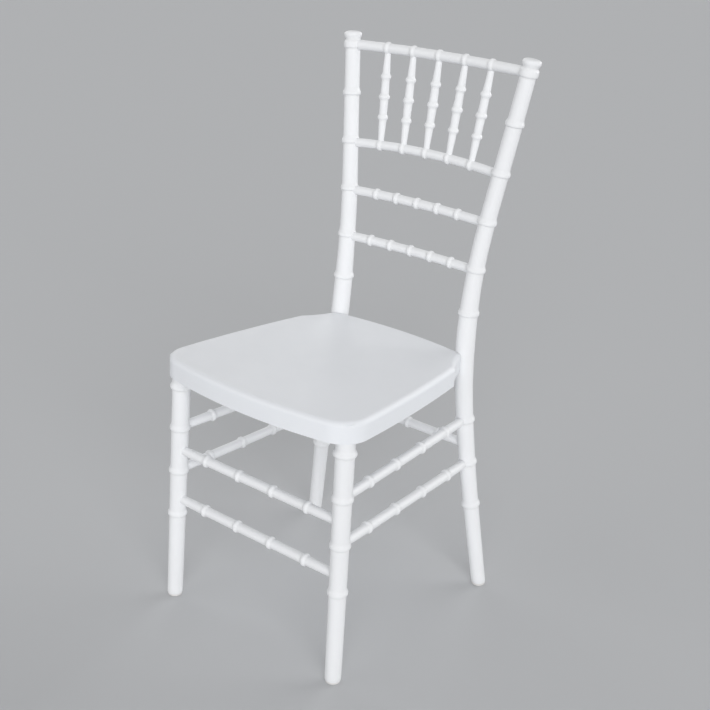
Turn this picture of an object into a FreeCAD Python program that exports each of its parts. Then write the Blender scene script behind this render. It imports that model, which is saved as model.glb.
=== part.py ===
import FreeCAD, Part
import Sketcher
import math
import os

doc = FreeCAD.newDocument("ChiavariChair")

# Driving sizes in millimetres and degrees. The origin is on the floor under the middle of the
# chair. -Y is the chair's front, and +X is on the right when the chair is seen from there.
sizes = {
    # whole chair
    "post_height": 920.0,
    "seat_width": 389.0,
    "seat_depth": 402.8,
    "seat_height": 444.6,
    "seat_angle": 1.4,
    "glide_thickness": 5.0,
    # rear posts: two straight runs in each view, blended by a long bend
    "rear_foot_spread": 386.6,
    "waist_spread": 243.4,
    "waist_height": 502.8,
    "waist_radius": 1242.0,
    "top_spread": 348.6,
    "rear_foot_y": 186.1,
    "lean_y": 149.3,
    "lean_height": 384.5,
    "lean_radius": 2100.0,
    "top_y": 214.0,
    "post_foot_dia": 25.2,
    "post_shin_dia": 28.4,
    "post_seat_dia": 32.6,
    "post_back_dia": 28.0,
    "post_top_dia": 25.7,
    "post_belly_height": 462.0,
    # turned heads of the posts, measured along the post from the top rail's axis
    "head_length": 20.7,
    "head_ring_below": 3.0,
    "head_ring_above": 4.0,
    "neck_dia": 25.0,
    "neck_rise": 7.5,
    "knob_dia": 30.4,
    "knob_rise": 10.7,
    "knob_flare": 1.2,
    "knob_edge": 2.2,
    # front legs
    "leg_inset_side": 24.9,
    "leg_inset_front": 45.2,
    "leg_splay": 8.4,
    "leg_rake": 13.4,
    "leg_foot_dia": 26.5,
    "leg_top_dia": 30.0,
    "leg_collar_drop": 52.3,
    # heights of the back's rails, the stretchers and the bare rings
    "back_pitch": 79.6,
    "waist_ring_height": 506.6,
    "side_upper_height": 318.7,
    "side_lower_height": 241.0,
    "low_ring_height": 160.8,
    "front_upper_height": 278.9,
    "front_lower_height": 188.2,
    "rear_stretcher_height": 273.6,
    # rings turned on posts and legs, like the nodes of bamboo: steep below, gentle above
    "ring_rise": 2.4,
    "ring_land": 2.4,
    "ring_above": 7.6,
    "ring_below": 4.0,
    "leg_collar_rise": 3.2,
    # beads turned on the rails, stretchers and spindles
    "bead_rise": 2.3,
    "bead_land": 2.6,
    "bead_flank": 4.6,
    # rails: a bow is how far the middle is behind the ends, and an arch how far above them.
    # The drop is how far the three lower rails join below the middle of a ring.
    "rail_drop": 2.2,
    "top_rail_dia": 16.4,
    "top_rail_bow": 9.1,
    "top_rail_arch": 2.0,
    "spindle_rail_dia": 15.0,
    "spindle_rail_bow": 8.8,
    "spindle_rail_arch": 6.5,
    "ladder_rail_dia": 15.2,
    "ladder_upper_bow": 4.2,
    "ladder_upper_arch": 2.7,
    "ladder_lower_bow": 4.5,
    "ladder_lower_arch": 1.2,
    "ladder_bead_pitch": 42.0,
    # stretchers
    "stretcher_dia": 16.0,
    "stretcher_end_dia": 15.0,
    "rear_stretcher_dia": 15.6,
    "stretcher_bead_share": 0.207,
    # spindles
    "spindle_top_pitch": 51.6,
    "spindle_foot_pitch": 46.1,
    "spindle_dia": 14.4,
    "spindle_flank_dia": 13.2,
    "spindle_end_dia": 10.0,
    "spindle_depth": 5.5,
    "spindle_bead_share": 0.21,
    # sockets: rods end on the axis of what holds them and run straight until clear of it
    "rod_stub": 22.0,
    "socket_clearance": 0.2,
    "socket_floor": 0.5,
    "socket_reach": 40.0,
    # seat shell
    "seat_rear_y": 166.6,
    "front_bow_radius": 830.0,
    "rear_bow_radius": 720.0,
    "side_bow_radius": 2200.0,
    "front_corner_radius": 48.0,
    "shoulder_out": 30.6,
    "shoulder_forward": 75.0,
    "shoulder_radius": 14.0,
    "sweep_radius": 160.0,
    "sweep_out": 3.0,
    "sweep_forward": 15.0,
    "rear_corner_in": 12.3,
    "skirt_depth": 34.0,
    "skirt_wall": 4.0,
    "seat_plate": 4.5,
    "seat_edge_radius": 9.0,
    "boss_lift": 1.2,
    "rib_wall": 2.6,
    "rib_depth": 9.0,
    "rib_spacing_x": 66.0,
    "rib_spacing_y": 108.0,
    "rib_middle_y": -30.3,
    "rib_root": 0.5,
    "leg_socket_wall": 3.6,
    "leg_socket_roof": 2.0,
    "leg_top_gap": 1.2,
    "post_notch_clearance": 0.35,
    # seat fixings: a bolt and washer from inside the seat into an insert in each leg and post
    "bolt_drop": 20.5,
    "front_bolt_angle": 35.0,
    "rear_bolt_angle": 32.0,
    "front_lug_reach": 25.0,
    "rear_block_reach": 32.0,
    "lug_width": 22.0,
    "bolt_dia": 6.0,
    "bolt_clearance": 0.5,
    "bolt_head_dia": 10.0,
    "bolt_head_height": 6.0,
    "bolt_chamfer": 0.7,
    "bolt_key_width": 5.0,
    "bolt_key_depth": 3.2,
    "bolt_tip": 5.0,
    "washer_dia": 16.0,
    "washer_thickness": 1.6,
    "insert_dia": 9.5,
    "insert_length": 9.0,
    "insert_lead": 0.5,
    "thread_clearance": 0.1,
    # floor glides
    "glide_dia": 24.6,
    "glide_edge": 2.2,
    "glide_stem_dia": 8.0,
    "glide_stem_length": 14.0,
}

sheet = doc.addObject("Spreadsheet::Sheet", "Sizes")
for row, (name, value) in enumerate(sizes.items(), start=1):
    sheet.set(f"A{row}", name)
    sheet.set(f"B{row}", str(value))
    sheet.setAlias(f"B{row}", name)
doc.recompute()

layout = doc.addObject("App::VarSet", "Layout")
subparts = []
sides = ((1, "right"), (-1, "left"))


def size(name):
    return "Sizes." + name


def derive(name, expression, kind="App::PropertyFloat"):
    """Keeps a value that follows from the driving sizes and gives its reference."""
    layout.addProperty(kind, name, "Layout", "")
    layout.setExpression(name, expression)
    return "Layout." + name


def derive_place(name, expression):
    return derive(name, expression, "App::PropertyPlacement")


def place(x, y, z, dx="0", dy="0", dz="1"):
    """A placement at a point, with its Z axis turned to a direction."""
    return (f"placement(vector({x}; {y}; {z}); "
            f"rotation(vector(0; 0; 1); vector({dx}; {dy}; {dz})))")


def spin_place(x, y, z, angle, about="vector(0; 0; 1)"):
    """A placement at a point, turned by an angle about an axis."""
    return f"placement(vector({x}; {y}; {z}); rotation({about}; {angle}))"


def shifted(axis, distance):
    """The same axis, further along itself."""
    return f"{axis} * " + spin_place("0", "0", distance, "0")


def new_body(label):
    body = doc.addObject("PartDesign::Body", label)
    body.Label = label
    subparts.append(body)
    return body


def group(label, bodies):
    """One node that holds several like solids."""
    compound = doc.addObject("Part::Compound", label)
    compound.Label = label
    compound.Links = bodies
    subparts.append(compound)
    return compound


def plane_of(body, role):
    return [plane for plane in body.Origin.OriginFeatures if plane.Role == role][0]


def new_sketch(body, name, role, offset=None):
    sketch = body.newObject("Sketcher::SketchObject", name)
    sketch.AttachmentSupport = [(plane_of(body, role), "")]
    sketch.MapMode = "FlatFace"
    if offset:
        sketch.setExpression("AttachmentOffset", offset)
    return sketch


def constrain(sketch, name, expression, *constraint):
    """Adds a dimension to a sketch and ties it to the sizes."""
    index = sketch.addConstraint(Sketcher.Constraint(*constraint))
    sketch.renameConstraint(index, name)
    sketch.setExpression("Constraints." + name, expression)


def polygon(sketch, points):
    """Draws a closed outline whose corners are (across, up) expressions."""
    count = len(points)
    corners = []
    for i in range(count + 1):
        turn = 2 * math.pi * i / count
        corners.append(FreeCAD.Vector(math.cos(turn), math.sin(turn), 0))
    for start, end in zip(corners, corners[1:]):
        sketch.addGeometry(Part.LineSegment(start, end), False)
    for i in range(count):
        sketch.addConstraint(Sketcher.Constraint("Coincident", i, 2, (i + 1) % count, 1))
    for i, (across, up) in enumerate(points):
        if across == "0":
            sketch.addConstraint(Sketcher.Constraint("PointOnObject", i, 1, -2))
        else:
            constrain(sketch, f"across_{i}", across, "DistanceX", -1, 1, i, 1, corners[i].x)
        if up == "0":
            sketch.addConstraint(Sketcher.Constraint("PointOnObject", i, 1, -1))
        else:
            constrain(sketch, f"up_{i}", up, "DistanceY", -1, 1, i, 1, corners[i].y)


def turned(body, name, points):
    """Revolves a (radius, height) outline about the body's Z axis."""
    sketch = new_sketch(body, name + "_profile", "XZ_Plane")
    polygon(sketch, points)
    feature = body.newObject("PartDesign::Revolution", name)
    feature.Profile = sketch
    feature.ReferenceAxis = (sketch, ["V_Axis"])
    feature.Angle = 360
    return feature


def drawn_rod(body, name, stations):
    """Lofts straight from circle to circle. A station is a placement and a diameter."""
    sections = []
    for i, (where, diameter) in enumerate(stations):
        sketch = new_sketch(body, f"{name}_section_{i}", "XY_Plane", where)
        ring = Part.Circle(FreeCAD.Vector(), FreeCAD.Vector(0, 0, 1), 10)
        sketch.addGeometry(ring, False)
        sketch.addConstraint(Sketcher.Constraint("Coincident", 0, 3, -1, 1))
        constrain(sketch, "diameter", diameter, "Diameter", 0, 20)
        sections.append(sketch)
    feature = body.newObject("PartDesign::AdditiveLoft", name)
    feature.Profile = sections[0]
    feature.Sections = sections[1:]
    feature.Ruled = True
    return feature


def bore(body, name, radius, length, where):
    feature = body.newObject("PartDesign::SubtractiveCylinder", name)
    feature.setExpression("Radius", radius)
    feature.setExpression("Height", length)
    feature.setExpression("Placement", where)
    return feature


# Rings and beads

def swelling(axis, diameter, rise, land, above, below):
    """Stations of a turned ring: a flank, a narrow land and a flank, square to the axis."""
    return [
        (shifted(axis, f"-({land} / 2 + {below})"), diameter),
        (shifted(axis, f"-{land} / 2"), f"{diameter} + 2 * {rise}"),
        (shifted(axis, f"{land} / 2"), f"{diameter} + 2 * {rise}"),
        (shifted(axis, f"{land} / 2 + {above}"), diameter),
    ]


def post_ring(axis, diameter, rise=size("ring_rise")):
    return swelling(axis, diameter, rise, size("ring_land"), size("ring_above"), size("ring_below"))


def bent_bead(axis, diameter):
    return swelling(axis, diameter, size("bead_rise"), size("bead_land"),
                    size("bead_flank"), size("bead_flank"))


def straight_bead(radius, height):
    """Outline points of a bead on a turned rod."""
    return [
        (radius, f"{height} - Sizes.bead_land / 2 - Sizes.bead_flank"),
        (f"{radius} + Sizes.bead_rise", f"{height} - Sizes.bead_land / 2"),
        (f"{radius} + Sizes.bead_rise", f"{height} + Sizes.bead_land / 2"),
        (radius, f"{height} + Sizes.bead_land / 2 + Sizes.bead_flank"),
    ]


# Centre line of the rear posts. Seen from the front and from the side, each is two straight
# runs that would cross at a corner, blended by an arc.

top_rail_height = derive("top_rail_height", "Sizes.post_height - Sizes.head_length")
splay_below = derive("splay_below",
                     "(Sizes.waist_spread - Sizes.rear_foot_spread) / 2 / Sizes.waist_height")
splay_above = derive("splay_above", "(Sizes.top_spread - Sizes.waist_spread) / 2"
                                    f" / ({top_rail_height} - Sizes.waist_height)")
splay_run = derive("splay_run", "Sizes.waist_radius"
                                f" * tan((atan({splay_above}) - atan({splay_below})) / 2)")
rake_below = derive("rake_below", "(Sizes.lean_y - Sizes.rear_foot_y) / Sizes.lean_height")
rake_above = derive("rake_above", "(Sizes.top_y - Sizes.lean_y)"
                                  f" / ({top_rail_height} - Sizes.lean_height)")
rake_run = derive("rake_run", "Sizes.lean_radius"
                              f" * tan((atan({rake_above}) - atan({rake_below})) / 2)")


def bent_line(height, corner, corner_height, below, above, run, radius):
    """Offset and slope at a height, of two straight runs blended by an arc."""
    into = f"max({run} - abs({height} - {corner_height}); 0)"
    side = f"({height} < {corner_height} ? {below} : {above})"
    offset = f"{corner} + {side} * ({height} - {corner_height}) + {into}^2 / (2 * {radius})"
    slope = f"{side} + ({height} < {corner_height} ? 1 : -1) * {into} / {radius}"
    return offset, slope


def post_at(name, height):
    """Where a rear post's axis is at a height, and how it leans there."""
    x, dx = bent_line(height, "Sizes.waist_spread / 2", size("waist_height"),
                      splay_below, splay_above, splay_run, size("waist_radius"))
    y, dy = bent_line(height, size("lean_y"), size("lean_height"),
                      rake_below, rake_above, rake_run, size("lean_radius"))
    return {
        "x": derive(f"post_x_{name}", x),
        "y": derive(f"post_y_{name}", y),
        "z": height,
        "dx": derive(f"post_dx_{name}", dx),
        "dy": derive(f"post_dy_{name}", dy),
    }


leg_head_x = derive("leg_head_x", "Sizes.seat_width / 2 - Sizes.leg_inset_side")
leg_head_y = derive("leg_head_y", "Sizes.seat_rear_y - Sizes.seat_depth + Sizes.leg_inset_front")
leg_dx = derive("leg_dx", "-Sizes.leg_splay / Sizes.seat_height")
leg_dy = derive("leg_dy", "Sizes.leg_rake / Sizes.seat_height")


def leg_at(name, height):
    """Where a front leg's axis is at a height."""
    above_head = f"({height} - Sizes.seat_height)"
    return {
        "x": derive(f"leg_x_{name}", f"{leg_head_x} + {leg_dx} * {above_head}"),
        "y": derive(f"leg_y_{name}", f"{leg_head_y} + {leg_dy} * {above_head}"),
        "z": height,
        "dx": leg_dx,
        "dy": leg_dy,
    }


def on_side(point, side):
    """The same point on the right (1) or on the left (-1)."""
    return dict(point, x=f"{side} * {point['x']}", dx=f"{side} * {point['dx']}")


def along_axis(point):
    return place(point["x"], point["y"], point["z"], point["dx"], point["dy"])


collar_height = derive("collar_height", "Sizes.seat_height - Sizes.leg_collar_drop")
seat_slope = "tan(Sizes.seat_angle)"
post_bolt_level = derive("post_bolt_level",
                         f"Sizes.seat_height - Sizes.lean_y * {seat_slope} - Sizes.bolt_drop")
leg_bolt_level = derive("leg_bolt_level",
                        f"Sizes.seat_height - {leg_head_y} * {seat_slope} - Sizes.bolt_drop")
leg_end = derive("leg_end", f"{leg_bolt_level} + Sizes.bolt_drop"
                            " - Sizes.seat_plate - Sizes.leg_socket_roof")

post_levels = {
    "foot": size("glide_thickness"),
    "low": size("low_ring_height"),
    "side_lower": size("side_lower_height"),
    "rear": size("rear_stretcher_height"),
    "side_upper": size("side_upper_height"),
    "collar": collar_height,
    "bolt": post_bolt_level,
    "belly": size("post_belly_height"),
    "waist": size("waist_ring_height"),
}
for rows_down, name in enumerate(("top", "second", "spindle", "upper", "lower")):
    post_levels[name] = derive(f"row_{name}_height",
                               f"{top_rail_height} - {rows_down} * Sizes.back_pitch")
for name in ("spindle", "upper", "lower"):
    post_levels[name + "_rail"] = derive(f"rail_{name}_height",
                                         f"{post_levels[name]} - Sizes.rail_drop")
post_points = {name: post_at(name, level) for name, level in post_levels.items()}

leg_levels = {
    "foot": size("glide_thickness"),
    "low": size("low_ring_height"),
    "front_lower": size("front_lower_height"),
    "side_lower": size("side_lower_height"),
    "front_upper": size("front_upper_height"),
    "side_upper": size("side_upper_height"),
    "collar": collar_height,
    "bolt": leg_bolt_level,
    "end": leg_end,
}
leg_points = {name: leg_at(name, level) for name, level in leg_levels.items()}

# Diameters along the posts and legs are read off straight tapers between named ones.

post_tapers = [
    (size("glide_thickness"), size("post_foot_dia")),
    (size("side_lower_height"), size("post_shin_dia")),
    (size("post_belly_height"), size("post_seat_dia")),
    (post_levels["lower"], size("post_back_dia")),
    (top_rail_height, size("post_top_dia")),
]
leg_tapers = [
    (size("glide_thickness"), size("leg_foot_dia")),
    (collar_height, size("leg_top_dia")),
]


def taper(height, stations):
    """Diameter at a height, between the two nearest stations."""
    text = stations[-1][1]
    for (low, low_dia), (high, high_dia) in reversed(list(zip(stations, stations[1:]))):
        span = f"{low_dia} + ({high_dia} - {low_dia}) * ({height} - {low}) / ({high} - {low})"
        text = f"({height} < {high} ? {span} : {text})"
    return text


for name, point in post_points.items():
    point["dia"] = derive(f"post_dia_{name}", taper(point["z"], post_tapers))
for name, point in leg_points.items():
    point["dia"] = derive(f"leg_dia_{name}", taper(point["z"], leg_tapers))

# The seat's frame leans back a little. Its origin is above the chair's, on the seat's top.

seat_frame = derive_place(
    "seat_frame", spin_place("0", "0", "Sizes.seat_height", "-Sizes.seat_angle", "vector(1; 0; 0)"))
half_seat = derive("half_seat", "Sizes.seat_width / 2")
seat_front_y = derive("seat_front_y", "Sizes.seat_rear_y - Sizes.seat_depth")


def in_seat(expression):
    """A place in the room, seen from the tilted seat."""
    return f"minvert({seat_frame}) * {expression}"


def in_room(expression):
    """A place given in the tilted seat, seen from the room."""
    return f"{seat_frame} * {expression}"


# Bolt axes in the seat's frame, from the axis of a leg or post towards the bolt's head.

bolt_axes = {}
for side, side_name in sides:
    leg = on_side(leg_points["bolt"], side)
    bolt_axes["front_" + side_name] = derive_place(
        f"bolt_front_{side_name}",
        place(leg["x"], leg["y"], "-Sizes.bolt_drop",
              f"{-side} * sin(Sizes.front_bolt_angle)", "cos(Sizes.front_bolt_angle)", "0"))
    post = on_side(post_points["bolt"], side)
    bolt_axes["rear_" + side_name] = derive_place(
        f"bolt_rear_{side_name}",
        place(post["x"], post["y"], "-Sizes.bolt_drop",
              f"{-side} * sin(Sizes.rear_bolt_angle)", "-cos(Sizes.rear_bolt_angle)", "0"))

# Rails bow backwards and arch upwards on a parabola. For one stub's length each end runs
# straight, into a blind socket that stops on the post's axis.

rails = {
    "top_rail": {"point": "top", "dia": size("top_rail_dia"), "bow": size("top_rail_bow"),
                 "arch": size("top_rail_arch"), "pitch": size("spindle_top_pitch")},
    "spindle_rail": {"point": "spindle_rail", "dia": size("spindle_rail_dia"),
                     "bow": size("spindle_rail_bow"), "arch": size("spindle_rail_arch"),
                     "pitch": size("spindle_foot_pitch")},
    "ladder_rail_upper": {"point": "upper_rail", "dia": size("ladder_rail_dia"),
                          "bow": size("ladder_upper_bow"), "arch": size("ladder_upper_arch"),
                          "pitch": size("ladder_bead_pitch")},
    "ladder_rail_lower": {"point": "lower_rail", "dia": size("ladder_rail_dia"),
                          "bow": size("ladder_lower_bow"), "arch": size("ladder_lower_arch"),
                          "pitch": size("ladder_bead_pitch")},
}


def rail_swing(rail, kind, x):
    """How far a rail's bow or arch carries it at x."""
    half = post_points[rails[rail]["point"]]["x"]
    return f"{rails[rail][kind]} * (1 - ({x})^2 / {half}^2)"


def rail_slope(rail, kind, x):
    half = post_points[rails[rail]["point"]]["x"]
    return f"-2 * {rails[rail][kind]} * ({x}) / {half}^2"


for rail, layout_of in rails.items():
    half = post_points[layout_of["point"]]["x"]
    layout_of["stub_x"] = derive(rail + "_stub_x", f"{half} - Sizes.rod_stub")
    for kind in ("bow", "arch"):
        layout_of["stub_" + kind] = derive(f"{rail}_stub_{kind}",
                                           rail_swing(rail, kind, layout_of["stub_x"]))


def rod_socket(body, name, point, diameter, dx, dy, dz="0"):
    """A blind hole from just past the axis of a post or leg out through its wall."""
    start = shifted(place(point["x"], point["y"], point["z"], dx, dy, dz), "-Sizes.socket_floor")
    return bore(body, name, f"{diameter} / 2 + Sizes.socket_clearance", size("socket_reach"), start)


def side_sockets(body, points, other_points, side):
    """Sockets for the two side stretchers, aimed at the leg or post at their other end."""
    for name in ("side_upper", "side_lower"):
        here = on_side(points[name], side)
        there = on_side(other_points[name], side)
        rod_socket(body, "socket_" + name, here, size("stretcher_end_dia"),
                   f"{there['x']} - {here['x']}", f"{there['y']} - {here['y']}")


def glide_and_insert_holes(body, foot, bolt_axis):
    bore(body, "insert_hole", "Sizes.insert_dia / 2", size("socket_reach"),
         shifted(in_room(bolt_axis), "Sizes.bolt_tip - Sizes.insert_lead - Sizes.socket_floor"))
    bore(body, "glide_hole", "Sizes.glide_stem_dia / 2 + Sizes.socket_clearance",
         "Sizes.glide_thickness + Sizes.glide_stem_length + Sizes.socket_floor",
         place(foot["x"], foot["y"], "0"))


def build_post(side, side_name):
    body = new_body("rear_post_" + side_name)
    foot = on_side(post_points["foot"], side)
    stations = [(place(foot["x"], foot["y"], foot["z"]), foot["dia"])]
    for name in ("low", "side_lower", "side_upper", "collar", "belly", "waist", "lower", "upper",
                 "spindle", "second"):
        point = on_side(post_points[name], side)
        if name in ("collar", "belly"):
            stations.append((along_axis(point), point["dia"]))
        else:
            stations += post_ring(along_axis(point), point["dia"])

    top = on_side(post_points["top"], side)
    crest = f"{top['dia']} + 2 * Sizes.ring_rise"
    head = [
        ("-Sizes.head_ring_below - Sizes.ring_below", top["dia"]),
        ("-Sizes.head_ring_below", crest),
        (size("head_ring_above"), crest),
        (size("neck_rise"), size("neck_dia")),
        (size("knob_rise"), "Sizes.knob_dia - 2 * Sizes.knob_flare"),
        ("Sizes.knob_rise + Sizes.knob_flare", size("knob_dia")),
        ("Sizes.head_length - Sizes.knob_edge", size("knob_dia")),
        (size("head_length"), "Sizes.knob_dia - 2 * Sizes.knob_edge"),
    ]
    stations += [(shifted(along_axis(top), rise), diameter) for rise, diameter in head]
    drawn_rod(body, "shaft", stations)

    for rail, layout_of in rails.items():
        rod_socket(body, "socket_" + rail, on_side(post_points[layout_of["point"]], side),
                   layout_of["dia"], f"{-side} * Sizes.rod_stub", layout_of["stub_bow"],
                   layout_of["stub_arch"])
    rod_socket(body, "socket_rear", on_side(post_points["rear"], side), size("stretcher_end_dia"),
               str(-side), "0")
    side_sockets(body, post_points, leg_points, side)
    glide_and_insert_holes(body, foot, bolt_axes["rear_" + side_name])
    return body


def build_leg(side, side_name):
    body = new_body("front_leg_" + side_name)
    foot = on_side(leg_points["foot"], side)
    end = on_side(leg_points["end"], side)
    stations = [(place(foot["x"], foot["y"], foot["z"]), foot["dia"])]
    for name in ("low", "side_lower", "side_upper"):
        point = on_side(leg_points[name], side)
        stations += post_ring(along_axis(point), point["dia"])
    collar = on_side(leg_points["collar"], side)
    stations += post_ring(along_axis(collar), collar["dia"], size("leg_collar_rise"))
    stations.append((along_axis(end), end["dia"]))
    drawn_rod(body, "shaft", stations)

    for name in ("front_upper", "front_lower"):
        rod_socket(body, "socket_" + name, on_side(leg_points[name], side),
                   size("stretcher_end_dia"), str(-side), "0")
    side_sockets(body, leg_points, post_points, side)
    glide_and_insert_holes(body, foot, bolt_axes["front_" + side_name])
    return body


def build_rail(rail):
    """A bowed rail from one post's axis to the other's, with five beads."""
    layout_of = rails[rail]
    point = post_points[layout_of["point"]]
    body = new_body(rail)
    body.setExpression("Placement", place("0", point["y"], point["z"]))

    def straight_end(hand):
        """The two stations of one straight end, from the tip inwards."""
        slopes = [f"{-hand} * {layout_of[stub]} / Sizes.rod_stub" for stub in ("stub_bow", "stub_arch")]
        tip = place(f"{hand} * {point['x']}", "0", "0", "1", *slopes)
        inner = place(f"{hand} * {layout_of['stub_x']}", layout_of["stub_bow"],
                      layout_of["stub_arch"], "1", *slopes)
        return [(tip, layout_of["dia"]), (inner, layout_of["dia"])]

    stations = straight_end(-1)
    for i in range(-2, 3):
        x = f"{i} * {layout_of['pitch']}"
        swings = [rail_swing(rail, kind, x) for kind in ("bow", "arch")]
        slopes = [rail_slope(rail, kind, x) for kind in ("bow", "arch")]
        stations += bent_bead(place(x, *swings, "1", *slopes), layout_of["dia"])
    stations += reversed(straight_end(1))
    drawn_rod(body, "bar", stations)
    return body


def straight_between(name, start, end):
    """Placement with Z from one point to the next, and the distance between them."""
    run = [f"({b} - {a})" for a, b in zip(start, end)]
    length = derive(name + "_length", "sqrt(" + " + ".join(f"{step}^2" for step in run) + ")")
    return derive_place(name + "_axis", place(*start, *run)), length


def build_spindle(i, rail_bodies):
    """A spindle between the two upper rails, and its blind holes in them."""
    number = i + 3
    name = f"spindle_{number}"
    ends = {}
    for rail in ("spindle_rail", "top_rail"):
        point = post_points[rails[rail]["point"]]
        x = f"{i} * {rails[rail]['pitch']}"
        y = f"{point['y']} + {rail_swing(rail, 'bow', x)}"
        z = f"{point['z']} + {rail_swing(rail, 'arch', x)}"
        ends[rail] = (derive(f"{name}_{rail}_x", x), derive(f"{name}_{rail}_y", y),
                      derive(f"{name}_{rail}_z", z))
    axis, length = straight_between(name, ends["spindle_rail"], ends["top_rail"])
    body = new_body(name)
    body.setExpression("Placement", axis)

    foot = "(Sizes.spindle_rail_dia / 2 + Sizes.bead_rise)"
    head = f"({length} - Sizes.top_rail_dia / 2 - Sizes.bead_rise)"
    start = f"{foot} - Sizes.spindle_depth"
    end = f"{head} + Sizes.spindle_depth"
    thin = "Sizes.spindle_end_dia / 2"
    flank = "Sizes.spindle_flank_dia / 2"
    outline = [("0", start), (thin, start), (thin, foot)]
    for step, radius in ((-1, flank), (0, "Sizes.spindle_dia / 2"), (1, flank)):
        outline += straight_bead(radius, f"(0.5 + {step} * Sizes.spindle_bead_share) * {length}")
    outline += [(thin, head), (thin, end), ("0", end)]
    turned(body, "shaft", outline)

    for rail, hole_end, turn in (("spindle_rail", f"{start} - Sizes.socket_floor", 0),
                                 ("top_rail", f"{end} + Sizes.socket_floor", 180)):
        point = post_points[rails[rail]["point"]]
        into_rail = spin_place("0", f"-{point['y']}", f"-{point['z']}", "0")
        outwards = spin_place("0", "0", hole_end, str(turn), "vector(1; 0; 0)")
        bore(rail_bodies[rail], f"spindle_hole_{number}", f"{thin} + Sizes.socket_clearance",
             size("socket_reach"), f"{into_rail} * {axis} * {outwards}")
    return body


def build_stretcher(name, start, end, diameter):
    """A straight turned bar between two post or leg axes, with four beads."""
    ends = [(point["x"], point["y"], point["z"]) for point in (start, end)]
    axis, length = straight_between(name, *ends)
    body = new_body(name)
    body.setExpression("Placement", axis)
    thin = "Sizes.stretcher_end_dia / 2"
    thick = f"{diameter} / 2"
    outline = [("0", "0"), (thin, "0"), (thin, size("rod_stub"))]
    for i in range(4):
        outline += straight_bead(thick, f"(0.5 + ({i} - 1.5) * Sizes.stretcher_bead_share) * {length}")
    outline += [(thin, f"{length} - Sizes.rod_stub"), (thin, length), ("0", length)]
    turned(body, "shaft", outline)
    return body


# Seat shell: a moulded tray with ribs, sockets for the front legs and solid blocks at the
# rear corners, which are notched round the posts.

def number(expression):
    """The present value of an expression, to start a sketch at its answer."""
    return float(layout.evalExpression(expression))


def meeting(a, a_radius, b, b_radius, hand):
    """Where two circles meet, on the left (1) or right (-1) of the way from a to b."""
    across = (b[0] - a[0], b[1] - a[1])
    gap = math.hypot(*across)
    along = (gap ** 2 + a_radius ** 2 - b_radius ** 2) / (2 * gap)
    rise = hand * math.sqrt(a_radius ** 2 - along ** 2)
    return (a[0] + (along * across[0] - rise * across[1]) / gap,
            a[1] + (along * across[1] + rise * across[0]) / gap)


def direction(start, end):
    return math.atan2(end[1] - start[1], end[0] - start[0])


def arc(center, radius, start, end):
    full = Part.Circle(FreeCAD.Vector(*center, 0), FreeCAD.Vector(0, 0, 1), radius)
    return Part.ArcOfCircle(full, start, end)


def segment(start, end):
    return Part.LineSegment(FreeCAD.Vector(*start, 0), FreeCAD.Vector(*end, 0))


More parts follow.
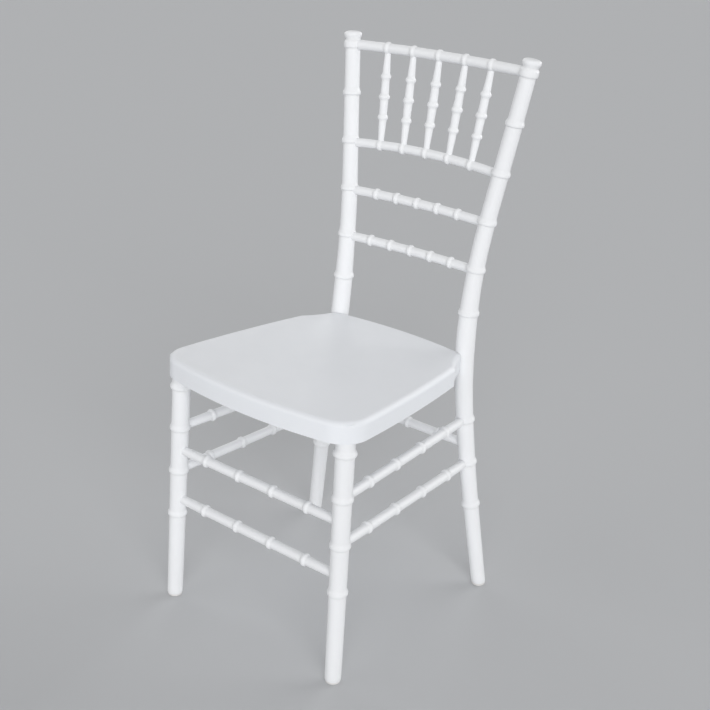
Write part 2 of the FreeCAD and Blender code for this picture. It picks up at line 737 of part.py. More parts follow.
def half_outline(sketch, inset, block_face):
    """Right half of the seat's outline, or of the cavity's, which is inset by a wall.

    By the post the outline is cut off straight: hidden under the post on the seat, and as
    the face of the block that takes the rear bolt on the cavity.
    """
    post = post_points["bolt"]
    text = {
        "front": f"-{seat_front_y} - {inset}",
        "half": f"{half_seat} - Sizes.front_corner_radius",
        "bow": f"Sizes.front_bow_radius - {inset}",
        "corner": f"Sizes.front_corner_radius - {inset}",
        "side": f"Sizes.side_bow_radius - {inset}",
        "shoulder_x": f"{post['x']} + Sizes.shoulder_out - {inset}",
        "shoulder_y": f"{post['y']} - Sizes.shoulder_forward",
        "shoulder": f"Sizes.shoulder_radius - {inset}",
        "sweep": f"Sizes.sweep_radius + {inset}",
        "sweep_x": f"{post['x']} + Sizes.sweep_out - {inset}",
        "sweep_y": f"{post['y']} - Sizes.sweep_forward",
        "rear": f"Sizes.seat_rear_y - {inset}",
        "rear_bow": f"Sizes.rear_bow_radius - {inset}",
        "rear_x": f"{post['x']} - Sizes.rear_corner_in",
        "face_x": f"{post['x']} - Sizes.rear_block_reach * sin(Sizes.rear_bolt_angle)",
        "face_y": f"{post['y']} - Sizes.rear_block_reach * cos(Sizes.rear_bolt_angle)",
    }
    value = {key: number(expression) for key, expression in text.items()}

    # Where the curves lie now, each worked out from the one before it
    bow_centre = (0, value["bow"] - value["front"])
    corner_drop = math.sqrt((value["bow"] - value["corner"]) ** 2 - value["half"] ** 2)
    corner_centre = (value["half"], bow_centre[1] - corner_drop)
    bow_end = direction(bow_centre, corner_centre)
    shoulder = (value["shoulder_x"], value["shoulder_y"])
    side_centre = meeting(corner_centre, value["side"] - value["corner"], shoulder, value["side"], 1)
    side_start = direction(side_centre, corner_centre)
    side_end = direction(side_centre, shoulder)
    shoulder_centre = (shoulder[0] - value["shoulder"] * math.cos(side_end),
                       shoulder[1] - value["shoulder"] * math.sin(side_end))
    rear_centre = (0, value["rear"] - value["rear_bow"])
    if block_face:
        lean = math.radians(number(size("rear_bolt_angle")))
        face = (value["face_x"], value["face_y"])
        along = (-math.cos(lean), math.sin(lean))
        out = (face[0] - rear_centre[0], face[1] - rear_centre[1])
        middle = out[0] * along[0] + out[1] * along[1]
        run = math.sqrt(middle ** 2 - math.hypot(*out) ** 2 + value["rear_bow"] ** 2) - middle
        rear_end = (face[0] + run * along[0], face[1] + run * along[1])
        sweep_end = (value["sweep_x"], face[1] - (value["sweep_x"] - face[0]) * math.tan(lean))
    else:
        rise = math.sqrt(value["rear_bow"] ** 2 - value["rear_x"] ** 2)
        rear_end = (value["rear_x"], rear_centre[1] + rise)
        sweep_end = (value["sweep_x"], value["sweep_y"])
    sweep_centre = meeting(shoulder_centre, value["shoulder"] + value["sweep"],
                           sweep_end, value["sweep"], -1)
    turn = direction(shoulder_centre, sweep_centre)

    sketch.addGeometry([
        arc(bow_centre, value["bow"], -math.pi / 2, bow_end),
        arc(corner_centre, value["corner"], bow_end, side_start),
        arc(side_centre, value["side"], side_start, side_end),
        arc(shoulder_centre, value["shoulder"], side_end, turn),
        arc(sweep_centre, value["sweep"], direction(sweep_centre, sweep_end), turn + math.pi),
        segment(sweep_end, rear_end),
        arc(rear_centre, value["rear_bow"], direction(rear_centre, rear_end), math.pi / 2),
        segment((0, value["rear"]), (0, -value["front"])),
    ], False)
    bow, corner, side, shoulder_arc, sweep, cut, rear, middle_line = range(8)
    origin, y_axis = (-1, 1), -2
    start, end, centre = 1, 2, 3
    add = sketch.addConstraint
    add(Sketcher.Constraint("Tangent", bow, end, corner, start))
    add(Sketcher.Constraint("Tangent", corner, end, side, start))
    add(Sketcher.Constraint("Tangent", side, end, shoulder_arc, start))
    add(Sketcher.Constraint("Tangent", shoulder_arc, end, sweep, end))
    add(Sketcher.Constraint("Coincident", sweep, start, cut, start))
    add(Sketcher.Constraint("Coincident", cut, end, rear, start))
    add(Sketcher.Constraint("Coincident", rear, end, middle_line, start))
    add(Sketcher.Constraint("Coincident", middle_line, end, bow, start))
    for curve, point in ((bow, start), (bow, centre), (rear, end), (rear, centre)):
        add(Sketcher.Constraint("PointOnObject", curve, point, y_axis))

    def dimension(name, kind, *places):
        constrain(sketch, name, text[name], kind, *places, value[name])

    dimension("front", "DistanceY", bow, start, *origin)
    dimension("half", "DistanceX", *origin, corner, centre)
    dimension("shoulder_x", "DistanceX", *origin, side, end)
    dimension("shoulder_y", "DistanceY", *origin, side, end)
    dimension("sweep_x", "DistanceX", *origin, cut, start)
    dimension("rear", "DistanceY", *origin, rear, end)
    for name, curve in (("bow", bow), ("corner", corner), ("side", side),
                        ("shoulder", shoulder_arc), ("sweep", sweep), ("rear_bow", rear)):
        dimension(name, "Radius", curve)
    if not block_face:
        dimension("sweep_y", "DistanceY", *origin, cut, start)
        dimension("rear_x", "DistanceX", *origin, cut, end)
        return
    face_point = sketch.addGeometry(Part.Point(FreeCAD.Vector(*face, 0)), True)
    dimension("face_x", "DistanceX", *origin, face_point, start)
    dimension("face_y", "DistanceY", *origin, face_point, start)
    add(Sketcher.Constraint("PointOnObject", face_point, start, cut))
    constrain(sketch, "face_angle", "180 - Sizes.rear_bolt_angle", "Angle", cut, math.pi - lean)


def face_name(feature, normal):
    """The furthest plane face that looks along a direction."""
    best = None
    for i, face in enumerate(feature.Shape.Faces, start=1):
        if not isinstance(face.Surface, Part.Plane):
            continue
        if face.normalAt(0, 0).dot(normal) < 0.999:
            continue
        reach = face.CenterOfMass.dot(normal)
        if best is None or reach > best[0]:
            best = (reach, f"Face{i}")
    return best[1]


def mirrored(body, name, feature):
    mirror = body.newObject("PartDesign::Mirrored", name)
    mirror.Originals = [feature]
    mirror.MirrorPlane = (plane_of(body, "YZ_Plane"), [""])
    body.Tip = mirror
    doc.recompute()
    return mirror


def rib(body, name, low, high):
    """A thin rib hanging from the seat's plate, over a rectangle from low to high."""
    sketch = new_sketch(body, name + "_plan", "XY_Plane",
                        spin_place("0", "0", "Sizes.rib_root - Sizes.seat_plate", "0"))
    polygon(sketch, [(low[0], low[1]), (high[0], low[1]), (high[0], high[1]), (low[0], high[1])])
    pad = body.newObject("PartDesign::Pad", name)
    pad.Profile = sketch
    pad.Reversed = True
    pad.setExpression("Length", "Sizes.rib_depth + Sizes.rib_root")


def build_ribs(body):
    wall_middle = "Sizes.skirt_wall / 2"
    half_rib = "Sizes.rib_wall / 2"
    for i in (-1, 0, 1):
        x = f"{i} * Sizes.rib_spacing_x"
        front = f"{seat_front_y} + ({x})^2 / (2 * Sizes.front_bow_radius) + {wall_middle}"
        rear = f"Sizes.seat_rear_y - ({x})^2 / (2 * Sizes.rear_bow_radius) - {wall_middle}"
        rib(body, f"rib_long_{i + 2}", (f"{x} - {half_rib}", front), (f"{x} + {half_rib}", rear))

    # the side wall's bow, from the front corner's end to the shoulder
    corner_x = f"({half_seat} - Sizes.front_corner_radius)"
    side_start_y = derive("side_start_y", f"{seat_front_y} + Sizes.front_corner_radius"
                                          f" + {corner_x}^2 / (2 * Sizes.front_bow_radius)")
    side_end_x = derive("side_end_x", f"{post_points['bolt']['x']} + Sizes.shoulder_out")
    side_end_y = derive("side_end_y", f"{post_points['bolt']['y']} - Sizes.shoulder_forward")
    side_run = f"({side_end_y} - {side_start_y})"
    for i in (-1, 0, 1):
        y = f"(Sizes.rib_middle_y + {i} * Sizes.rib_spacing_y)"
        share = derive(f"rib_share_{i + 2}", f"({y} - {side_start_y}) / {side_run}")
        bulge = f"{side_run}^2 / (2 * Sizes.side_bow_radius) * {share} * (1 - {share})"
        reach = derive(f"rib_reach_{i + 2}", f"{half_seat} + ({side_end_x} - {half_seat}) * {share}"
                                             f" + {bulge} - {wall_middle}")
        rib(body, f"rib_cross_{i + 2}", (f"-{reach}", f"{y} - {half_rib}"), (reach, f"{y} + {half_rib}"))


def build_seat():
    body = new_body("seat")
    body.setExpression("Placement", seat_frame)
    outline = new_sketch(body, "outline", "XY_Plane")
    half_outline(outline, "0", False)
    slab = body.newObject("PartDesign::Pad", "slab")
    slab.Profile = outline
    slab.Reversed = True
    slab.setExpression("Length", size("skirt_depth"))
    both = mirrored(body, "slab_both", slab)

    edge = body.newObject("PartDesign::Fillet", "top_edge")
    edge.Base = (both, [face_name(both, FreeCAD.Vector(0, 0, 1))])
    edge.setExpression("Radius", size("seat_edge_radius"))
    body.Tip = edge
    doc.recompute()

    cavity = new_sketch(body, "cavity_outline", "XY_Plane",
                        spin_place("0", "0", "-Sizes.seat_plate", "0"))
    half_outline(cavity, size("skirt_wall"), True)
    pocket = body.newObject("PartDesign::Pocket", "cavity")
    pocket.Profile = cavity
    pocket.setExpression("Length", size("skirt_depth"))
    mirrored(body, "cavity_both", pocket)
    build_ribs(body)

    socket = "Sizes.leg_top_dia / 2 + Sizes.socket_clearance"
    boss_foot = "Sizes.boss_lift - Sizes.skirt_depth"
    boss_height = "Sizes.skirt_depth - Sizes.boss_lift - Sizes.seat_plate + Sizes.rib_root"
    for side, side_name in sides:
        leg = on_side(leg_points["bolt"], side)
        boss = body.newObject("PartDesign::AdditiveCylinder", "leg_boss_" + side_name)
        boss.setExpression("Radius", f"{socket} + Sizes.leg_socket_wall")
        boss.setExpression("Height", boss_height)
        boss.setExpression("Placement", place(leg["x"], leg["y"], boss_foot))
        lug = body.newObject("PartDesign::AdditiveBox", "bolt_lug_" + side_name)
        lug.setExpression("Length", size("lug_width"))
        lug.setExpression("Width", size("front_lug_reach"))
        lug.setExpression("Height", boss_height)
        lug.setExpression("Placement",
                          spin_place(leg["x"], leg["y"], boss_foot, f"{side} * Sizes.front_bolt_angle")
                          + " * " + spin_place("-Sizes.lug_width / 2", "0", "0", "0"))

    bolt_hole = "(Sizes.bolt_dia + Sizes.bolt_clearance) / 2"
    for side, side_name in sides:
        collar = on_side(leg_points["collar"], side)
        rise = f"({leg_end} + Sizes.leg_top_gap - {collar_height})"
        bore(body, "leg_socket_" + side_name, socket,
             f"{rise} * sqrt(1 + {leg_dx}^2 + {leg_dy}^2)", in_seat(along_axis(collar)))
        post = on_side(post_points["bolt"], side)
        bore(body, "post_notch_" + side_name, "Sizes.post_seat_dia / 2 + Sizes.post_notch_clearance",
             "2 * Sizes.skirt_depth", in_seat(shifted(along_axis(post), "-Sizes.skirt_depth")))
        for end, reach in (("front", "Sizes.front_lug_reach"), ("rear", "Sizes.rear_block_reach")):
            bore(body, f"{end}_bolt_hole_{side_name}", bolt_hole,
                 f"{reach} + Sizes.washer_thickness", bolt_axes[f"{end}_{side_name}"])
    return body


# Fixings. Their heights are measured along the bolt from the axis of the leg or post.

def build_bolt(name, axis, reach):
    """A socket head bolt."""
    body = doc.addObject("PartDesign::Body", name)
    body.setExpression("Placement", in_room(axis))
    seat_of_head = f"{reach} + Sizes.washer_thickness"
    top = f"{seat_of_head} + Sizes.bolt_head_height"
    shank = "Sizes.bolt_dia / 2"
    head = "Sizes.bolt_head_dia / 2"
    cut = "Sizes.bolt_chamfer"
    turned(body, "blank", [
        ("0", "Sizes.bolt_tip"),
        (f"{shank} - {cut}", "Sizes.bolt_tip"),
        (shank, f"Sizes.bolt_tip + {cut}"),
        (shank, seat_of_head),
        (head, seat_of_head),
        (head, f"{top} - {cut}"),
        (f"{head} - {cut}", top),
        ("0", top),
    ])
    sketch = new_sketch(body, "key_outline", "XY_Plane", spin_place("0", "0", top, "0"))
    corner = "Sizes.bolt_key_width / sqrt(3)"
    turns = [60 * i + 15 for i in range(6)]
    polygon(sketch, [(f"{corner} * cos({turn})", f"{corner} * sin({turn})") for turn in turns])
    key = body.newObject("PartDesign::Pocket", "key_socket")
    key.Profile = sketch
    key.setExpression("Length", size("bolt_key_depth"))
    return body


def build_sleeve(name, axis, inner, outer, start, length):
    """A round sleeve on a bolt's axis: a washer, or the insert that the bolt screws into."""
    body = doc.addObject("PartDesign::Body", name)
    body.setExpression("Placement", in_room(axis))
    end = f"{start} + {length}"
    turned(body, "sleeve", [(inner, start), (outer, start), (outer, end), (inner, end)])
    return body


def build_glide(name, point, side):
    """A foot button with a stem, pressed up into a leg or post."""
    body = new_body(name)
    spot = on_side(point, side)
    body.setExpression("Placement", place(spot["x"], spot["y"], "0"))
    disc = "Sizes.glide_dia / 2"
    stem = "Sizes.glide_stem_dia / 2"
    top = "Sizes.glide_thickness + Sizes.glide_stem_length"
    cut = "Sizes.glide_edge"
    turned(body, "button", [
        ("0", "0"),
        (f"{disc} - {cut}", "0"),
        (disc, cut),
        (disc, size("glide_thickness")),
        (stem, size("glide_thickness")),
        (stem, f"{top} - {cut}"),
        (f"{stem} - {cut}", top),
        ("0", top),
    ])
    return body


layout.recompute()
for side, side_name in sides:
    build_post(side, side_name)
for side, side_name in sides:
    build_leg(side, side_name)
rail_bodies = {rail: build_rail(rail) for rail in rails}
for i in range(-2, 3):
    build_spindle(i, rail_bodies)

for name in ("upper", "lower"):
    leg = leg_points["front_" + name]
    build_stretcher("front_stretcher_" + name, on_side(leg, -1), on_side(leg, 1), size("stretcher_dia"))
for side, side_name in sides:
    for name in ("upper", "lower"):
        level = "side_" + name
        build_stretcher(f"side_stretcher_{side_name}_{name}", on_side(leg_points[level], side),
                        on_side(post_points[level], side), size("stretcher_dia"))
post = post_points["rear"]
build_stretcher("rear_stretcher", on_side(post, -1), on_side(post, 1), size("rear_stretcher_dia"))
build_seat()

reaches = {"front": size("front_lug_reach"), "rear": size("rear_block_reach")}
washers = []
inserts = []
for end, reach in reaches.items():
    bolts = []
    for side, side_name in sides:
        corner = f"{end}_{side_name}"
        axis = bolt_axes[corner]
        bolts.append(build_bolt("bolt_" + corner, axis, reach))
        washers.append(build_sleeve("washer_" + corner, axis,
                                    "(Sizes.bolt_dia + Sizes.bolt_clearance) / 2",
                                    "Sizes.washer_dia / 2", reach, size("washer_thickness")))
        inserts.append(build_sleeve("insert_" + corner, axis,
                                    "Sizes.bolt_dia / 2 + Sizes.thread_clearance",
                                    "Sizes.insert_dia / 2 - Sizes.thread_clearance",
                                    "Sizes.bolt_tip - Sizes.insert_lead", size("insert_length")))
    group(f"{end}_seat_bolts", bolts)
group("seat_bolt_washers", washers)
group("threaded_inserts", inserts)
for side, side_name in sides:
    build_glide("glide_front_" + side_name, leg_points["foot"], side)
    build_glide("glide_rear_" + side_name, post_points["foot"], side)

doc.recompute()
for item in doc.Objects:
    if "Invalid" in item.State or "Error" in item.State:
        raise RuntimeError(f"{item.Label}: {item.State}")
for part in subparts:
    if part.Shape.isNull() or not part.Shape.isValid():
        raise RuntimeError(f"{part.Label} has no valid shape")
os.makedirs("parts", exist_ok=True)
for part in subparts:
    part.Shape.exportStep(f"parts/{part.Label}.step")
    print(part.Label, len(part.Shape.Solids), round(part.Shape.Volume))
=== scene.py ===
import bpy
import math
from mathutils import Matrix, Vector


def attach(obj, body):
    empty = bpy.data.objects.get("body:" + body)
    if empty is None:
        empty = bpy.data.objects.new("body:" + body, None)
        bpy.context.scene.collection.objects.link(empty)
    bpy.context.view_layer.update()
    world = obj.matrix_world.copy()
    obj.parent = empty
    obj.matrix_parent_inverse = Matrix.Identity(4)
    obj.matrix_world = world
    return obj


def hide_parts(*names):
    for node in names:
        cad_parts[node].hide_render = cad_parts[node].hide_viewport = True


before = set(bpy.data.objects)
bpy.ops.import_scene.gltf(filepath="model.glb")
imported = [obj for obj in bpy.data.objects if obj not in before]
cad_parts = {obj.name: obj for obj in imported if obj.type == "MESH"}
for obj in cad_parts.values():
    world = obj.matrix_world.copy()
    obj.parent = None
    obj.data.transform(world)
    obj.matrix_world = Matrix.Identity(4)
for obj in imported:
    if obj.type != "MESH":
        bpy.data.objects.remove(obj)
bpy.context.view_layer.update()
print("frame loaded:", len(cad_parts), "parts")


# camera, where the photograph was taken from
cameraSettings = {
    "place": (1.12472, -1.41580, 1.18671),
    "azimuth": 37.7,
    "elevation": 22.4,
    "roll": 3.0,
    "lens": 60.68,
    "sensor": 36.0,
}


def makeCamera(settings):
    bpy.ops.object.select_all(action='DESELECT')
    bpy.ops.object.camera_add(location=settings["place"])
    camera = bpy.context.object
    camera.name = "photoCamera"
    turn = (Matrix.Rotation(math.radians(settings["azimuth"]), 4, 'Z')
            @ Matrix.Rotation(math.pi / 2 - math.radians(settings["elevation"]), 4, 'X')
            @ Matrix.Rotation(math.radians(settings["roll"]), 4, 'Z'))
    camera.rotation_euler = turn.to_euler()
    camera.data.lens = settings["lens"]
    camera.data.sensor_width = settings["sensor"]
    bpy.context.scene.camera = camera


makeCamera(cameraSettings)
print("camera placed")


# studio: a pale floor that keeps the shadow, soft world light and broad lamps that stand low
studio = {
    "floorSize": 60.0,
    "floorColour": (0.584, 0.5937, 0.6083, 1.0),
    "shownColour": (0.431, 0.4389, 0.4482, 1.0),
    "worldStrength": 0.27,
    "floorRoughness": 0.9,
    "lampDistance": 4.0,
    "lamps": {
        # name: azimuth from the front, elevation, strength, how broad, seen in gloss
        "keyLamp": (46.0, 13.0, 2.55, 50.0, False),
        "fillLamp": (-38.0, 20.0, 0.50, 60.0, True),
        "backLamp": (160.0, 16.0, 1.35, 60.0, True),
        "sideLamp": (-116.0, 22.0, 0.75, 60.0, True),
    },
}


def makeStudio(settings):
    scene = bpy.context.scene
    scene.view_settings.view_transform = 'Standard'
    bpy.ops.object.select_all(action='DESELECT')
    bpy.ops.mesh.primitive_plane_add(size=settings["floorSize"], location=(0, 0, 0))
    floor = bpy.context.object
    floor.name = "studioFloor"
    floorPaint = bpy.data.materials.new("floorPaint")
    floorPaint.use_nodes = True
    shader = floorPaint.node_tree.nodes["Principled BSDF"]
    shader.inputs["Base Color"].default_value = settings["floorColour"]
    shader.inputs["Roughness"].default_value = settings["floorRoughness"]
    shader.inputs["Specular IOR Level"].default_value = 0.0
    floor.data.materials.append(floorPaint)

    # what the camera, gloss and glass see past the floor is the floor's own grey
    world = bpy.data.worlds.new("studioWorld")
    scene.world = world
    world.use_nodes = True
    nodes, links = world.node_tree.nodes, world.node_tree.links
    light = nodes["Background"]
    light.inputs["Color"].default_value = (1.0, 1.0, 1.0, 1.0)
    light.inputs["Strength"].default_value = settings["worldStrength"]
    shown = nodes.new("ShaderNodeBackground")
    shown.inputs["Color"].default_value = settings["shownColour"]
    shown.inputs["Strength"].default_value = 1.0
    ray = nodes.new("ShaderNodeLightPath")
    seen = ray.outputs["Is Camera Ray"]
    for kind in ("Is Glossy Ray", "Is Transmission Ray"):
        either = nodes.new("ShaderNodeMath")
        either.operation = 'MAXIMUM'
        links.new(seen, either.inputs[0])
        links.new(ray.outputs[kind], either.inputs[1])
        seen = either.outputs[0]
    mix = nodes.new("ShaderNodeMixShader")
    links.new(seen, mix.inputs[0])
    links.new(light.outputs[0], mix.inputs[1])
    links.new(shown.outputs[0], mix.inputs[2])
    links.new(mix.outputs[0], nodes["World Output"].inputs["Surface"])

    for name, (azimuth, elevation, strength, breadth, glint) in settings["lamps"].items():
        turn, lift = math.radians(azimuth), math.radians(elevation)
        way = Vector((math.sin(turn) * math.cos(lift), -math.cos(turn) * math.cos(lift),
                      math.sin(lift)))
        bpy.ops.object.light_add(type='SUN', location=way * settings["lampDistance"])
        lamp = bpy.context.object
        lamp.name = name
        lamp.data.energy = strength
        lamp.data.angle = math.radians(breadth)
        lamp.visible_glossy = glint
        lamp.rotation_euler = way.to_track_quat('Z', 'Y').to_euler()


makeStudio(studio)
print("studio lit")


# turned swellings. Each point is its place along the rod in mm, how much of the full rise it
# has, and how much of a crease it is, which sets the painted shade laid in that crease
swells = {
    "ring": [(-10.0, 0.0, 0.0), (-6.5, 0.0, 0.35), (-4.8, 0.0, 1.0), (-4.2, 0.03, 1.0),
             (-3.7, 0.26, 0.6), (-3.1, 0.66, 0.15), (-2.5, 0.90, 0.0), (-1.6, 0.99, 0.0),
             (-0.3, 1.0, 0.0), (0.9, 0.98, 0.0), (2.1, 0.86, 0.0), (3.7, 0.58, 0.0),
             (5.4, 0.30, 0.05), (7.2, 0.10, 0.2), (9.2, 0.01, 0.25), (11.5, 0.0, 0.0)],
    "bead": [(-9.0, 0.0, 0.0), (-6.4, 0.0, 0.4), (-5.0, 0.06, 0.5), (-3.8, 0.30, 0.25),
             (-2.7, 0.66, 0.0), (-1.8, 0.90, 0.0), (-0.9, 0.99, 0.0), (0.0, 1.0, 0.0),
             (0.9, 0.99, 0.0), (1.8, 0.90, 0.0), (2.7, 0.66, 0.0), (3.8, 0.30, 0.25),
             (5.0, 0.06, 0.5), (6.4, 0.0, 0.4), (9.0, 0.0, 0.0)],
}
rod = {
    "gap": 14.0,  # longest step between two stations
    "leastTurn": 1e-5,  # a smaller change of heading is left out
    "smoothAngle": 38.0,
    # how far each step of a foot's rounded edge lies above the foot, and how far inside it
    "footEdge": [(0.0, 0.8), (0.25, 0.35), (0.8, 0.0)],
}
mm = 0.001
up = Vector((0, 0, 1))


def taper(place, tapers, blend):
    # diameter at a place between the named ones, with the changes of slope eased
    def straight(at):
        for (low, lowSize), (high, highSize) in zip(tapers, tapers[1:]):
            if at < high:
                return lowSize + (highSize - lowSize) * max(at - low, 0) / (high - low)
        return tapers[-1][1]
    steps = [straight(place + blend * (i - 3) / 3) for i in range(7)]
    return sum(steps) / len(steps)


def turnedStations(lineAt, tapers, blend, marks, low, high, gap=rod["gap"]):
    # where a rod's outline goes, from its low end to its high end, in mm along the rod
    points = []
    for place, swell, rise in marks:
        points += [(place + along, share * rise, creaseShade) for along, share, creaseShade in swells[swell]]
    points = sorted(point for point in points if low < point[0] < high)
    points = [(low, 0.0, 0.0)] + points + [(high, 0.0, 0.0)]
    stations = []
    for here, there in zip(points, points[1:]):
        stations.append(here)
        extra = int((there[0] - here[0]) / gap)
        for i in range(extra):
            stations.append((here[0] + (there[0] - here[0]) * (i + 1) / (extra + 1), 0.0, 0.0))
    stations.append(points[-1])
    return [(*lineAt(place), taper(place, tapers, blend) / 2 + rise, creaseShade)
            for place, rise, creaseShade in stations]


def faceOutwards():
    # ends the editing of a piece with its normals recalculated
    bpy.ops.mesh.select_all(action='SELECT')
    bpy.ops.mesh.normals_make_consistent(inside=False)
    bpy.ops.object.mode_set(mode='OBJECT')


def footStations(start, diameter):
    # a level foot with a rounded edge
    return [(start + up * rise, up, diameter / 2 - inset, 0.0) for rise, inset in rod["footEdge"]]


def growRod(name, stations, sides):
    # a circle is extruded from station to station, and each new end is scaled and turned
    bpy.ops.object.select_all(action='DESELECT')
    centre, heading, radius, creaseShade = stations[0]
    bpy.ops.mesh.primitive_circle_add(vertices=sides, radius=radius * mm, fill_type='NGON',
                                      location=centre * mm,
                                      rotation=heading.to_track_quat('Z', 'Y').to_euler())
    piece = bpy.context.object
    piece.name = name
    bpy.ops.object.transform_apply(location=True, rotation=True, scale=True)
    bpy.ops.object.mode_set(mode='EDIT')
    bpy.ops.mesh.select_all(action='SELECT')
    for before, after in zip(stations, stations[1:]):
        end = after[0] * mm
        bpy.ops.mesh.extrude_region_move(
            TRANSFORM_OT_translate={"value": (after[0] - before[0]) * mm})
        growth = after[2] / before[2]
        bpy.ops.transform.resize(value=(growth, growth, growth), center_override=end)
        axis, angle = before[1].rotation_difference(after[1]).to_axis_angle()
        if angle > rod["leastTurn"]:
            side = axis.orthogonal().normalized()
            basis = Matrix((side, axis.cross(side), axis))
            bpy.ops.transform.rotate(value=-angle, orient_axis='Z',
                                     orient_matrix=basis.transposed(), center_override=end)
    faceOutwards()

    # the operators add each station's points after the ones before
    # each point keeps how much painted shade its crease gets, for the material to read
    creases = piece.data.attributes.new("creaseShade", 'FLOAT', 'POINT')
    creases.data.foreach_set("value", [station[3] for station in stations for i in range(sides)])
    return piece


def mirroredCopy(piece, name):
    bpy.ops.object.select_all(action='DESELECT')
    piece.select_set(True)
    bpy.context.view_layer.objects.active = piece
    bpy.ops.object.duplicate()
    twin = bpy.context.object
    twin.name = name
    twin.scale = (-1, 1, 1)
    bpy.ops.object.transform_apply(location=True, rotation=True, scale=True)
    bpy.ops.object.mode_set(mode='EDIT')
    faceOutwards()
    return twin


def fit(piece, node):
    # finished piece: smooth but for its creases, riding on the frame in place of its CAD part
    bpy.ops.object.select_all(action='DESELECT')
    piece.select_set(True)
    bpy.context.view_layer.objects.active = piece
    bpy.ops.object.shade_smooth_by_angle(angle=math.radians(rod["smoothAngle"]))
    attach(piece, "root")
    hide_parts(node)
    framePieces.append(piece)


framePieces = []

# rear posts: straight runs blended by an arc, seen from the front and from the side
post = {
    "across": {"corner": 121.7, "height": 502.8, "foot": 193.3, "top": 174.3, "radius": 1242.0},
    "back": {"corner": 149.3, "height": 384.5, "foot": 186.1, "top": 214.0, "radius": 2100.0},
    "footHeight": 5.0,
    "footLength": 9.0,
    "topHeight": 899.3,
    "headGap": 4.0,
    "tapers": [(5.0, 25.2), (241.0, 28.4), (462.0, 32.6), (580.9, 28.0), (899.3, 25.7)],
    "blend": 26.0,
    "ringRise": 2.4,
    "rings": [160.8, 241.0, 318.7, 506.6, 580.9, 660.5, 740.1, 819.7],
    # head above the top rail's axis: place, radius, crease, which sets painted shade
    "head": [(-11.0, 12.85, 0.0), (-8.6, 12.86, 0.5), (-7.6, 12.95, 1.0), (-7.0, 13.3, 0.7),
             (-6.2, 14.15, 0.2), (-5.4, 14.8, 0.0), (-4.4, 15.15, 0.0), (-3.2, 15.25, 0.0),
             (-0.5, 15.3, 0.0), (2.6, 15.25, 0.0), (3.9, 15.0, 0.0), (4.9, 14.4, 0.0),
             (5.9, 13.5, 0.3), (6.8, 12.8, 0.9), (7.5, 12.5, 1.0), (8.3, 12.55, 1.0),
             (9.2, 12.8, 0.6), (10.4, 13.4, 0.2), (11.8, 14.15, 0.0), (13.0, 14.75, 0.0),
             (14.0, 15.1, 0.0), (15.0, 15.25, 0.0), (16.6, 15.2, 0.0), (17.9, 14.9, 0.0),
             (19.1, 14.2, 0.0), (20.1, 13.0, 0.0), (20.9, 11.0, 0.0), (21.5, 8.2, 0.0),
             (21.85, 4.8, 0.0), (21.95, 0.8, 0.0)],
    "sides": 48,
}


def bentLine(height, line):
    # offset and slope at a height
    below = (line["corner"] - line["foot"]) / line["height"]
    above = (line["top"] - line["corner"]) / (post["topHeight"] - line["height"])
    run = line["radius"] * math.tan((math.atan(above) - math.atan(below)) / 2)
    rise = height - line["height"]
    into = max(run - abs(rise), 0)
    slope, hand = (below, 1) if rise < 0 else (above, -1)
    return (line["corner"] + slope * rise + into ** 2 / 2 / line["radius"],
            slope + hand * into / line["radius"])


def postLine(height):
    x, slopeX = bentLine(height, post["across"])
    y, slopeY = bentLine(height, post["back"])
    return Vector((x, y, height)), Vector((slopeX, slopeY, 1)).normalized()


def makePosts():
    foot, top = post["footHeight"], post["topHeight"]
    marks = [(height, "ring", post["ringRise"]) for height in post["rings"]]
    stations = footStations(postLine(foot)[0], post["tapers"][0][1])
    stations += turnedStations(postLine, post["tapers"], post["blend"], marks,
                               foot + post["footLength"],
                               top + post["head"][0][0] - post["headGap"])
    centre, heading = postLine(top)
    stations += [(centre + heading * along, heading, radius, creaseShade)
                 for along, radius, creaseShade in post["head"]]
    right = growRod("rearPostRight", stations, post["sides"])
    left = mirroredCopy(right, "rearPostLeft")
    fit(right, "rear_post_right")
    fit(left, "rear_post_left")


makePosts()
print("rear posts turned")


# front legs: straight, splayed outwards and forwards, up into the seat's sockets
leg = {
    "head": (169.6, -191.0, 444.6),
    "slope": (-8.4 / 444.6, 13.4 / 444.6),
    "footHeight": 5.0,
    "footLength": 6.0,
    "endHeight": 442.7,
    "tapers": [(5.0, 26.5), (392.3, 30.0), (443.0, 30.0)],
    "blend": 10.0,
    "ringRise": 2.4,
    "rings": [160.8, 241.0, 318.7],
    "collar": (392.3, 3.2),
    "sides": 48,
}


def legLine(height):
    rise = height - leg["head"][2]
    way = Vector((*leg["slope"], 1))
    return Vector(leg["head"]) + way * rise, way.normalized()


def makeLegs():
    foot = leg["footHeight"]
    marks = [(height, "ring", leg["ringRise"]) for height in leg["rings"]]
    marks.append((leg["collar"][0], "ring", leg["collar"][1]))
    stations = footStations(legLine(foot)[0], leg["tapers"][0][1])
    stations += turnedStations(legLine, leg["tapers"], leg["blend"], marks,
                               foot + leg["footLength"], leg["endHeight"])
    right = growRod("frontLegRight", stations, leg["sides"])
    left = mirroredCopy(right, "frontLegLeft")
    fit(right, "front_leg_right")
    fit(left, "front_leg_left")


makeLegs()
print("front legs turned")


